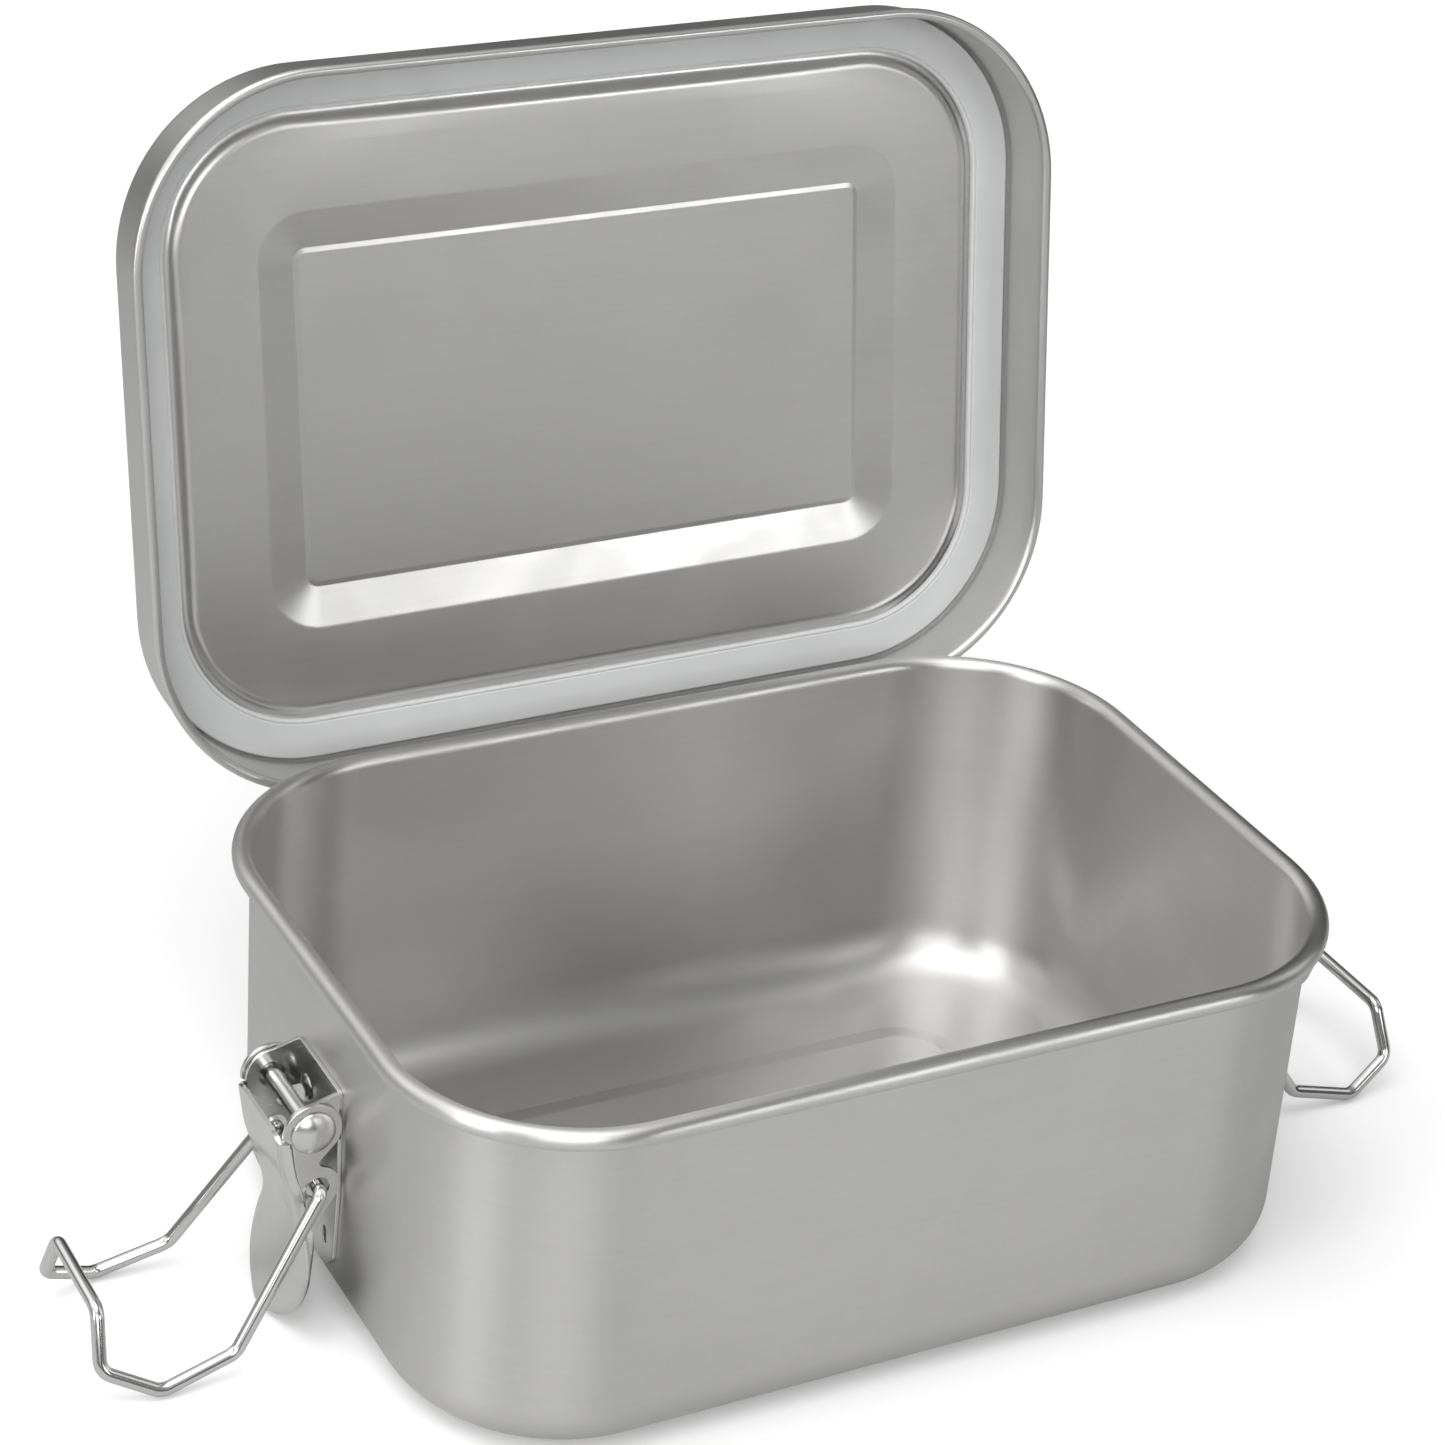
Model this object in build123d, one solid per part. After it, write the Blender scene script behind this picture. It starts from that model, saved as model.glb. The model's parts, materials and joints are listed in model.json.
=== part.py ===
from build123d import *
import os
from math import atan2, degrees, radians, sin

# Lunch box: a drawn steel tub, a hinged lid with a soft seal, and a wire-bail latch on each end.
# Millimetres, +Z up. The origin is the middle of the face that the tub stands on, X runs along its length.
# The lid is drawn closed and then swung open to the pose that the box is stored in here.

# Driving dimensions: tub
SHEET = 0.6  # sheet of the tub and of the lid
TUB_HALF_LENGTH = 86.75  # to the outside of the wall
TUB_HALF_WIDTH = 61.4
TUB_CORNER = 32.1
TUB_HEIGHT = 68.7  # to the top of the rolled rim
FLOOR_FILLET = 10.3
RIM_RADIUS = 1.9  # outside of the rolled rim
FLOOR_INSET = 14.0  # where the wall's section meets the flat floor
PANEL_HALF_LENGTH = 58.5  # raised middle of the floor
PANEL_HALF_WIDTH = 37.0
PANEL_CORNER = 13.0
PANEL_SLOPE = 5.0
PANEL_RISE = 1.5

# Driving dimensions: lid, as it lies when closed
LID_HALF_LENGTH = 90.95  # to the outside of the skirt
LID_HALF_WIDTH = 65.7
LID_CORNER = 33.6
LID_TOP = 70.6
LID_EDGE = 55.7  # lowest point of the skirt's bead
LID_SHOULDER = 2.0  # bend between the top and the skirt, at the middle of the sheet
LID_BEAD_RADIUS = 0.95
LID_PLUG_DEPTH = 1.4  # the panel inside the seal dips this far into the tub
LID_PLUG_INSET = 12.0  # from the skirt to the foot of that dip
LID_PLUG_RUN = 3.1
RECESS_HALF_LENGTH = 65.0  # pressed rectangle in the middle of the lid
RECESS_HALF_WIDTH = 39.3
RECESS_CORNER = 10.0
RECESS_SLOPE = 7.4
RECESS_DEPTH = 1.7
SEAL_OUTER_INSET = 1.15  # from the outside of the skirt
SEAL_WIDTH = 7.6
SEAL_THICK = 1.2

# Driving dimensions: rear hinge
HINGE_Y = 67.45
HINGE_Z = 60.2
LID_SWING = 99.14  # from open to closed
HINGE_HALF_LENGTH = 30.0
LEAF = 0.75
HINGE_PIN_RADIUS = 0.95
KNUCKLE_RADIUS = 1.75
KNUCKLE_GAP = 0.3

# Driving dimensions: latches. OUT is the distance from the end wall, measured outwards.
LATCH_SHEET = 0.8
BRACKET_HALF_WIDTH = 9.4
BRACKET_TOP = 48.2
BRACKET_FOOT = 9.4
RIVET_OUT = 5.7
RIVET_Z = 42.0
RIVET_RADIUS = 1.3
RIVET_HEAD_RADIUS = 4.0
RIVET_HEAD_HEIGHT = 1.6
SLEEVE_RADIUS = 1.8
PIVOT_CLEARANCE = 0.05
FLANGE_INSIDE = 9.55
BAIL_OUT = 4.6
BAIL_Z = 30.3
BAIL_WIRE = 1.22  # radius of the wire
BAIL_HOLE = 1.3
LOBE_RADIUS = 5.3
BAIL_LOBE_RADIUS = 4.1

FLANGE_OUTSIDE = FLANGE_INSIDE + LATCH_SHEET


def ring(section, half_length, half_width, corner):
    """Run a section round a rounded rectangle. In the section X is the distance outside that line and Y is Z."""
    upright = Plane.XZ * section
    solids = []
    for turn, reach, run in (
        (0, half_length, half_width - corner),
        (90, half_width, half_length - corner),
        (180, half_length, half_width - corner),
        (270, half_width, half_length - corner),
    ):
        solids.append(Rot(Z=turn) * Pos(X=reach) * extrude(upright, amount=run, both=True))
    bend = revolve(Pos(X=corner) * upright, Axis.Z, 90)
    for turn, side_x, side_y in ((0, 1, 1), (90, -1, 1), (180, -1, -1), (270, 1, -1)):
        middle = Pos(side_x * (half_length - corner), side_y * (half_width - corner), 0)
        solids.append(middle * Rot(Z=turn) * bend)
    return solids[0].fuse(*solids[1:])


def slab(half_length, half_width, corner, low, high):
    """A flat plate with rounded corners between two heights."""
    outline = RectangleRounded(2 * half_length, 2 * half_width, corner)
    return Pos(Z=low) * extrude(outline, amount=high - low)


def frustum(half_length, half_width, corner, slope, low, rise):
    """A plate whose sides lean inwards by slope over its height."""
    top_corner = max(corner - slope, 2.0)
    foot = Pos(Z=low) * RectangleRounded(2 * half_length, 2 * half_width, corner)
    head = Pos(Z=low + rise) * RectangleRounded(
        2 * (half_length - slope), 2 * (half_width - slope), top_corner
    )
    return loft([foot, head])


def box_body():
    middle = SHEET / 2
    curl = RIM_RADIUS - middle
    curl_z = TUB_HEIGHT - RIM_RADIUS
    floor_run = Line((-FLOOR_INSET, middle), (-FLOOR_FILLET, middle))
    fillet = CenterArc((-FLOOR_FILLET, FLOOR_FILLET), FLOOR_FILLET - middle, -90, 90)
    wall = Line((-middle, FLOOR_FILLET), (-middle, curl_z))
    rim = CenterArc((curl - middle, curl_z), curl, 180, -295)
    section = trace(Curve() + [floor_run, fillet, wall, rim], SHEET)
    shell = ring(section, TUB_HALF_LENGTH, TUB_HALF_WIDTH, TUB_CORNER)
    floor_size = (TUB_HALF_LENGTH - FLOOR_INSET, TUB_HALF_WIDTH - FLOOR_INSET, TUB_CORNER - FLOOR_INSET)
    floor = slab(*floor_size, 0, SHEET)
    floor += frustum(PANEL_HALF_LENGTH, PANEL_HALF_WIDTH, PANEL_CORNER, PANEL_SLOPE, SHEET, PANEL_RISE)
    inset = SHEET * 0.15
    floor -= frustum(
        PANEL_HALF_LENGTH - inset, PANEL_HALF_WIDTH - inset, PANEL_CORNER - inset, PANEL_SLOPE, 0, PANEL_RISE
    )
    return shell + floor


def opened(shape):
    """Swing a shape from where the closed lid has it to where the open lid has it."""
    axis = Pos(0, HINGE_Y, HINGE_Z)
    return axis * Rot(X=-LID_SWING) * Pos(0, -HINGE_Y, -HINGE_Z) * shape


def lid_shell():
    middle = SHEET / 2
    top = LID_TOP - middle
    panel = top - LID_PLUG_DEPTH
    # two equal arcs, one after the other, join the panel to the seat of the seal
    lean = degrees(2 * atan2(LID_PLUG_DEPTH, LID_PLUG_RUN))
    bend = LID_PLUG_RUN / (2 * sin(radians(lean)))
    plug_foot = -LID_PLUG_INSET
    seat = plug_foot + LID_PLUG_RUN
    edge = plug_foot - 2.8
    curl = LID_BEAD_RADIUS - middle
    curl_z = LID_EDGE + LID_BEAD_RADIUS
    lines = [
        Line((edge, panel), (plug_foot, panel)),
        CenterArc((plug_foot, panel + bend), bend, -90, lean),
        CenterArc((seat, top - bend), bend, 90 + lean, -lean),
        Line((seat, top), (-middle - LID_SHOULDER, top)),
        CenterArc((-middle - LID_SHOULDER, top - LID_SHOULDER), LID_SHOULDER, 90, -90),
        Line((-middle, top - LID_SHOULDER), (-middle, curl_z)),
        CenterArc((curl - middle, curl_z), curl, 180, 275),
    ]
    section = trace(Curve() + lines, SHEET)
    shell = ring(section, LID_HALF_LENGTH, LID_HALF_WIDTH, LID_CORNER)
    underside = panel - middle
    plate = slab(
        LID_HALF_LENGTH + edge, LID_HALF_WIDTH + edge, LID_CORNER + edge, underside, panel + middle
    )
    size = (RECESS_HALF_LENGTH, RECESS_HALF_WIDTH, RECESS_CORNER)
    plate += frustum(*size, RECESS_SLOPE, panel + middle, RECESS_DEPTH)
    plate -= frustum(*size, RECESS_SLOPE, underside, RECESS_DEPTH)
    return opened(shell + plate)


def lid_seal():
    underside = LID_TOP - SHEET
    section = Pos(-SEAL_OUTER_INSET - SEAL_WIDTH / 2, underside - SEAL_THICK / 2) * Rectangle(SEAL_WIDTH, SEAL_THICK)
    outer_top = section.vertices().sort_by(Axis.Y)[-2:].sort_by(Axis.X)[-1]
    section = fillet(outer_top, SEAL_THICK - 0.05)
    return opened(ring(section, LID_HALF_LENGTH, LID_HALF_WIDTH, LID_CORNER))


def strip(lines, start, end, thick=LEAF):
    """Sheet bent along lines drawn in the YZ plane, between two places along X."""
    section = Plane.YZ * trace(Curve() + lines, thick)
    return Pos(X=start) * extrude(section, amount=end - start)


def hinge_pieces():
    """The leaf on the tub, the leaf on the lid and the pin."""
    curl = KNUCKLE_RADIUS - LEAF / 2
    wall = TUB_HALF_WIDTH + LEAF / 2
    arm = HINGE_Y + curl
    shelf = 53.0
    arm_top = 57.0
    foot = 38.0
    end = HINGE_HALF_LENGTH
    knuckle = 12.0
    stop_half = end - 2 * knuckle

    joggle = FilletPolyline((wall, foot), (wall, shelf), (arm, shelf), (arm, arm_top), radius=1.5)
    box_leaf = strip([joggle], -end, end)
    rise = Line((arm, arm_top), (arm, HINGE_Z))
    barrel = CenterArc((HINGE_Y, HINGE_Z), curl, 0, 260)
    for start in (-end, end - knuckle):
        box_leaf += strip([rise, barrel], start, start + knuckle)
    # a tongue between the knuckles is bent outwards, and the open lid leans on it
    stop = FilletPolyline(
        (arm, arm_top), (arm, HINGE_Z - 2.2), (HINGE_Y + 4.2, HINGE_Z - 0.2), (HINGE_Y + 7.2, HINGE_Z - 0.68),
        radius=0.9,
    )
    box_leaf += strip([stop], -stop_half, stop_half)

    leaf_line = HINGE_Y - curl
    leaf_top = 67.3
    clear = HINGE_Z + KNUCKLE_RADIUS + KNUCKLE_GAP
    lid_leaf = strip([Line((leaf_line, clear), (leaf_line, leaf_top))], -end, end)
    drop = Line((leaf_line, clear), (leaf_line, HINGE_Z))
    lid_barrel = CenterArc((HINGE_Y, HINGE_Z), curl, 180, 260)
    for start in (-end + knuckle + KNUCKLE_GAP, stop_half + KNUCKLE_GAP):
        lid_leaf += strip([drop, lid_barrel], start, start + knuckle - 2 * KNUCKLE_GAP)

    head = 1.0
    pin = Cylinder(HINGE_PIN_RADIUS, 2 * end, rotation=(0, 90, 0))
    for side in (-1, 1):
        button = Cylinder(KNUCKLE_RADIUS, head, rotation=(0, 90, 0))
        outer = button.faces().sort_by(Axis.X)[-1 if side > 0 else 0].edges()
        pin += Pos(X=side * (end + head / 2)) * fillet(outer, 0.6)
    return box_leaf, opened(lid_leaf), Pos(0, HINGE_Y, HINGE_Z) * pin


def side_plate(outline, inside):
    """Two equal plates LATCH_SHEET thick, cut from an outline drawn in OUT and Z."""
    upright = Plane.XZ * outline
    plate = extrude(upright, amount=LATCH_SHEET)
    return Pos(Y=-inside) * plate + Pos(Y=inside + LATCH_SHEET) * plate


def bar(radius, half_length, out, height):
    """A round bar across the latch."""
    return Pos(out, 0, height) * Cylinder(radius, 2 * half_length, rotation=(90, 0, 0))


def latch_bracket():
    shoulder = 27.0
    foot_half_width = 8.0
    back = Polyline(
        (-BRACKET_HALF_WIDTH, BRACKET_TOP), (-BRACKET_HALF_WIDTH, shoulder), (-foot_half_width, BRACKET_FOOT),
        (foot_half_width, BRACKET_FOOT), (BRACKET_HALF_WIDTH, shoulder), (BRACKET_HALF_WIDTH, BRACKET_TOP),
        close=True,
    )
    face = make_face(back)
    low_corners = face.vertices().group_by(Axis.Y)[0]
    plate = extrude(Plane.YZ * chamfer(low_corners, 3.0), amount=LATCH_SHEET)
    for side in (-1, 1):
        weld = Pos(LATCH_SHEET, side * 5.0, 40.3) * Cylinder(2.4, 0.5, rotation=(0, 90, 0))
        plate -= weld
        plate -= Pos(LATCH_SHEET, side * 4.5, 15.7) * Box(LATCH_SHEET, 1.0, 2.8)
    ear_foot = 38.6
    ear_radius = 4.8
    ear = make_face(
        Polyline(
            (0, BRACKET_TOP), (0, ear_foot), (RIVET_OUT - 2.5, ear_foot), (RIVET_OUT, RIVET_Z),
            (RIVET_OUT, RIVET_Z + ear_radius), (1.0, BRACKET_TOP), close=True,
        )
    )
    ear += Pos(RIVET_OUT, RIVET_Z) * Circle(ear_radius)
    ears = side_plate(ear, BRACKET_HALF_WIDTH - LATCH_SHEET)
    bore = bar(RIVET_RADIUS + PIVOT_CLEARANCE, FLANGE_OUTSIDE, RIVET_OUT, RIVET_Z)
    return plate + ears - bore


def latch_rivet():
    shank_end = FLANGE_OUTSIDE + 0.1
    ball = (RIVET_HEAD_RADIUS**2 + RIVET_HEAD_HEIGHT**2) / (2 * RIVET_HEAD_HEIGHT)
    rivet = bar(RIVET_RADIUS, shank_end, RIVET_OUT, RIVET_Z)
    rim = 0.35
    for side in (-1, 1):
        dome = Pos(Z=RIVET_HEAD_HEIGHT - ball) * Sphere(ball)
        dome &= Pos(Z=RIVET_HEAD_HEIGHT / 2) * Cylinder(RIVET_HEAD_RADIUS, RIVET_HEAD_HEIGHT)
        head = Pos(Z=rim) * dome + Pos(Z=rim / 2) * Cylinder(RIVET_HEAD_RADIUS, rim)
        rivet += Pos(RIVET_OUT, side * shank_end, RIVET_Z) * Rot(X=-90 * side) * head
    return rivet


def latch_sleeve():
    half_length = BRACKET_HALF_WIDTH - LATCH_SHEET - 0.05
    tube = bar(SLEEVE_RADIUS, half_length, RIVET_OUT, RIVET_Z)
    return tube - bar(RIVET_RADIUS + PIVOT_CLEARANCE, half_length, RIVET_OUT, RIVET_Z)


def latch_lever():
    # side view of the web, from its top edge down to the tip of the finger tab
    web_line = Spline(
        (11.6, 41.6), (10.5, 34.0), (8.9, 28.5), (7.4, 22.5), (7.2, 17.0), (7.9, 11.0), (9.9, 3.8), (11.4, 0.4)
    )
    web = extrude(Plane.XZ * trace(web_line, LATCH_SHEET), amount=20, both=True)
    half = FLANGE_OUTSIDE
    waist = 9.3
    right = [(half, 42.5), (half, 28.0)]
    tab = Spline((half, 28.0), (waist, 22.0), (11.9, 15.5), (12.4, 10.5), (7.6, 3.6), (0, 1.2),
                 tangents=((0, -1), (-1, 0)))
    edge = Curve() + [Line(*right), tab]
    outline = make_face(edge + mirror(edge, Plane.YZ) + Line((-half, 42.5), (half, 42.5)))
    web &= extrude(Plane.YZ * outline, amount=20)
    flange = make_face(
        Polyline(
            (11.7, 41.5), (10.2, 41.2), (RIVET_OUT + 3.0, RIVET_Z - 3.0), (RIVET_OUT - 3.0, RIVET_Z - 4.2),
            (4.3, 34.9), (4.0, 33.5), (BAIL_OUT - 3.0, BAIL_Z - 2.9), (6.0, 18.4), (7.1, 16.8),
            (7.3, 22.5), (8.8, 28.5), (10.4, 34.0), close=True,
        )
    )
    flange += Pos(RIVET_OUT, RIVET_Z) * Circle(LOBE_RADIUS)
    flange += Pos(BAIL_OUT, BAIL_Z) * Circle(BAIL_LOBE_RADIUS)
    lever = web + side_plate(flange, FLANGE_INSIDE)
    lever -= bar(RIVET_RADIUS + PIVOT_CLEARANCE, 2 * half, RIVET_OUT, RIVET_Z)
    return lever - bar(BAIL_HOLE, 2 * half, BAIL_OUT, BAIL_Z)


def latch_bail():
    half = [
        (BAIL_OUT, 8.2, BAIL_Z), (BAIL_OUT, 12.0, BAIL_Z), (21.6, 16.8, 4.95),
        (35.2, 17.7, 1.4), (44.9, 14.8, 6.2), (43.9, 10.3, 15.9),
    ]
    other = [(out, -across, height) for out, across, height in reversed(half)]
    bends = [1.6, 5.0, 5.0, 3.5, 3.0]
    path = FilletPolyline(*half, *other, radius=bends + bends[::-1])
    start = Plane(origin=path @ 0, z_dir=path % 0)
    return sweep(start * Circle(BAIL_WIRE), path=path)


def save(name, shape):
    shape.label = name
    export_step(shape, "parts/" + name + ".step")


def main():
    os.makedirs("parts", exist_ok=True)
    save("box_body", box_body())
    save("lid_shell", lid_shell())
    save("lid_seal", lid_seal())
    box_leaf, lid_leaf, pin = hinge_pieces()
    save("hinge_leaf_box", box_leaf)
    save("hinge_leaf_lid", lid_leaf)
    save("hinge_pin", pin)
    for piece in (latch_bracket, latch_rivet, latch_sleeve, latch_lever, latch_bail):
        right = Pos(X=TUB_HALF_LENGTH) * piece()
        save(piece.__name__ + "_right", right)
        save(piece.__name__ + "_left", mirror(right, Plane.YZ))


main()
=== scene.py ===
"""Looks of a steel lunch box: a drawn tub, an open lid with a soft seal, and a wire latch on each end."""

import json
import logging
from collections.abc import Sequence
from dataclasses import dataclass
from enum import Enum
from math import atan2, cos, degrees, exp, hypot, radians, sin, tan

import bmesh
import bpy
from mathutils import Matrix, Vector
from mathutils.geometry import interpolate_bezier


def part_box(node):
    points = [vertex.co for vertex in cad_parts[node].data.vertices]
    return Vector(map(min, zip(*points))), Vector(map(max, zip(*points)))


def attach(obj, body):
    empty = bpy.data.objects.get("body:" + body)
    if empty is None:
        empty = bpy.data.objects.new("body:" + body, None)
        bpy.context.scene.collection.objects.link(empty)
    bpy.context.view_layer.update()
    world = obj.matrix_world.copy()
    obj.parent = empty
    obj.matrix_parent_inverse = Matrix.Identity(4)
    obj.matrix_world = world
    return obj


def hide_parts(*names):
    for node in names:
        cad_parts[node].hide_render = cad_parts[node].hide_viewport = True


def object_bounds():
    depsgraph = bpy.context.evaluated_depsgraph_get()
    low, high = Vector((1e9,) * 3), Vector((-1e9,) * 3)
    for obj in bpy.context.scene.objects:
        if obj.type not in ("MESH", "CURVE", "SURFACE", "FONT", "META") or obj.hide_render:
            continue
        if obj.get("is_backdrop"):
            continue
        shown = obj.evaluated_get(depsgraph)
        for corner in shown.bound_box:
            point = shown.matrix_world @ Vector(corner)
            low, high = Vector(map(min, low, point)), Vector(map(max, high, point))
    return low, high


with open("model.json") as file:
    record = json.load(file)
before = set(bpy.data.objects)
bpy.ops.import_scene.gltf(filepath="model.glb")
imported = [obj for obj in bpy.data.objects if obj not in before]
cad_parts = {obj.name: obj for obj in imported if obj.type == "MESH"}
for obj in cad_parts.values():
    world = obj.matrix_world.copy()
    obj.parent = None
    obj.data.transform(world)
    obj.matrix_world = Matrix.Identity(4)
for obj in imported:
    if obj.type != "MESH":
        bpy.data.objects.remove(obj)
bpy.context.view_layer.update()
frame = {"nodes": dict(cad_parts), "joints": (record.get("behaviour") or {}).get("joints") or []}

MM = 0.001
Line = list[Vector]
Number = bpy.types.NodeSocket | float
log = logging.getLogger("lunch_box")


# ---------------------------------------------------------------- lines and outlines


def arc(centre: tuple[float, float], radius: float, start: float, sweep: float, steps: int) -> Line:
    """Points along a circular arc in a plane, with angles in degrees.

    Args:
        centre: Middle of the circle.
        radius: Radius of the circle.
        start: Angle of the first point.
        sweep: Angle from the first point to the last one, counter-clockwise when positive.
        steps: Number of equal steps.

    Returns:
        The points, one more than the steps.
    """
    points = []
    for step in range(steps + 1):
        angle = radians(start + sweep * step / steps)
        points.append(Vector((centre[0] + radius * cos(angle), centre[1] + radius * sin(angle))))
    return points


def ring(centre: tuple[float, float], radius: float, sides: int) -> Line:
    """Points round a full circle, without repeating the first one."""
    return arc(centre, radius, 0, 360 - 360 / sides, sides - 1)


def rounded(corners: Sequence[Vector], radii: Sequence[float], steps: int = 6, closed: bool = False) -> Line:
    """Round the corners of a run of straight lines, in two or three dimensions.

    Args:
        corners: The corner points.
        radii: Radius at each corner. An open line leaves its two ends as they are.
        steps: Steps along each rounded corner.
        closed: Whether the line comes back to its start.

    Returns:
        The points of the rounded line.
    """
    count = len(corners)
    points = []
    for index, corner in enumerate(corners):
        is_end = not closed and index in (0, count - 1)
        if is_end or radii[index] <= 0:
            points.append(corner.copy())
            continue
        before = (corners[index - 1] - corner).normalized()
        after = (corners[(index + 1) % count] - corner).normalized()
        half = before.angle(after) / 2
        reach = radii[index] / tan(half)
        middle = corner + (before + after).normalized() * (radii[index] / sin(half))
        first = corner + before * reach - middle
        last = corner + after * reach - middle
        spread = first.angle(last)
        for step in range(steps + 1):
            share = step / steps
            mixed = first * sin((1 - share) * spread) + last * sin(share * spread)
            points.append(middle + mixed / sin(spread))
    return points


def through(knots: Sequence[Vector], steps: int) -> Line:
    """A smooth line through some points.

    Args:
        knots: Points that the line passes through.
        steps: Steps between one point and the next.

    Returns:
        Points along the line.
    """
    marks = [knot.to_3d() for knot in knots]
    slopes = []
    for index in range(len(marks)):
        low = marks[max(index - 1, 0)]
        high = marks[min(index + 1, len(marks) - 1)]
        slopes.append((high - low) / 2)
    line = []
    for index in range(len(marks) - 1):
        start, end = marks[index], marks[index + 1]
        handles = (start + slopes[index] / 3, end - slopes[index + 1] / 3)
        line += interpolate_bezier(start, *handles, end, steps + 1)[:-1]
    line.append(marks[-1])
    return [point.to_2d() for point in line]


def height_of(line: Sequence[Vector], height: float) -> float:
    """Read a line that falls steadily in its second coordinate.

    Args:
        line: Points from the highest to the lowest.
        height: The second coordinate to look up.

    Returns:
        The first coordinate at that height.
    """
    for upper, lower in zip(line, line[1:]):
        if upper[1] >= height >= lower[1] and upper[1] > lower[1]:
            share = (upper[1] - height) / (upper[1] - lower[1])
            return upper[0] + (lower[0] - upper[0]) * share
    return line[0][0] if height > line[0][1] else line[-1][0]


def in_mm(*spots: tuple[float, ...]) -> Line:
    """Points whose coordinates are given in millimetres."""
    return [Vector(spot) * MM for spot in spots]


def ease(low: float, high: float, value: float) -> float:
    """A smooth step from 0 at low to 1 at high."""
    share = min(max((value - low) / (high - low), 0.0), 1.0)
    return share * share * (3 - 2 * share)


@dataclass(frozen=True)
class Outline:
    """A level rounded rectangle about the middle of the box, in metres."""

    half_length: float
    half_width: float
    corner: float
    height: float = 0.0

    def grown(self, out: float, up: float) -> "Outline":
        """The same rectangle with its edge moved outwards and upwards."""
        corner = max(self.corner + out, 0.4 * MM)
        return Outline(self.half_length + out, self.half_width + out, corner, self.height + up)

    def loop(self) -> Line:
        """Points round the rectangle, always the same number."""
        corner_steps, long_steps, short_steps = 22, 30, 22
        points = []
        signs = ((1, 1), (-1, 1), (-1, -1), (1, -1))
        for turn, (side_x, side_y) in enumerate(signs):
            middle = (side_x * (self.half_length - self.corner), side_y * (self.half_width - self.corner))
            points += arc(middle, self.corner, 90 * turn, 90, corner_steps)
            steps = long_steps if turn % 2 == 0 else short_steps
            next_x, next_y = signs[(turn + 1) % 4]
            after = (next_x * (self.half_length - self.corner), next_y * (self.half_width - self.corner))
            target = arc(after, self.corner, 90 * (turn + 1), 90, 1)[0]
            points += [points[-1].lerp(target, step / steps) for step in range(1, steps)]
        return [Vector((point.x, point.y, self.height)) for point in points]


# ---------------------------------------------------------------- meshes


class Part(Enum):
    """Which finish a face of a formed sheet takes."""

    OUTSIDE = 0
    INSIDE = 1
    EDGE = 2
    LEVEL = 3


@dataclass
class Builder:
    """Collects the points and faces of one mesh."""

    name: str

    def __post_init__(self) -> None:
        """Start with an empty mesh."""
        self.mesh = bmesh.new()

    def row(self, points: Sequence[Vector]) -> list[bmesh.types.BMVert]:
        """Add points and give back their vertices."""
        return [self.mesh.verts.new(point.to_3d()) for point in points]

    def skin(self, first: Sequence, second: Sequence, closed: bool = True, part: int = 0) -> None:
        """Join two rows of vertices with quads.

        Args:
            first: One row of vertices.
            second: The next row, of the same length.
            closed: Whether the rows go all the way round.
            part: Material index of the new faces.
        """
        count = len(first)
        for index in range(count if closed else count - 1):
            after = (index + 1) % count
            face = self.mesh.faces.new((first[index], first[after], second[after], second[index]))
            face.material_index = part

    def skins(self, rows: Sequence[Sequence], closed: bool = True) -> None:
        """Join each row of vertices with the next one."""
        for first, second in zip(rows, rows[1:]):
            self.skin(first, second, closed)

    def cap(self, row: Sequence, part: int = 0) -> None:
        """Close a ring of vertices with one face."""
        self.mesh.faces.new(row).material_index = part

    def turned(self, matrix: Matrix) -> None:
        """Move the whole mesh."""
        self.mesh.transform(matrix)

    def taken(self) -> bpy.types.Mesh:
        """The finished mesh, with its faces turned outwards."""
        bmesh.ops.recalc_face_normals(self.mesh, faces=self.mesh.faces)
        data = bpy.data.meshes.new(self.name)
        self.mesh.to_mesh(data)
        self.mesh.free()
        return data

    def finish(self, sharp: float = 40.0) -> bpy.types.Object:
        """Make the object, smooth except where faces meet at more than the given angle in degrees."""
        return shown(self.name, self.taken(), sharp)


def shown(name: str, data: bpy.types.Mesh, sharp: float = 40.0) -> bpy.types.Object:
    """Put a mesh in the scene under a name, with smooth faces and crisp edges."""
    data.polygons.foreach_set("use_smooth", [True] * len(data.polygons))
    data.set_sharp_from_angle(angle=radians(sharp))
    made = bpy.data.objects.new(name, data)
    bpy.context.scene.collection.objects.link(made)
    return made


@dataclass(frozen=True)
class Station:
    """One loop of a formed sheet: the middle of the sheet and which finish it belongs to."""

    outline: Outline
    out: float
    up: float
    edge: bool = False

    def side(self, along: Vector, thickness: float) -> Outline:
        """The loop moved off the middle of the sheet, to the left of the way it runs."""
        return self.outline.grown(self.out - along.y * thickness, self.up + along.x * thickness)


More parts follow.
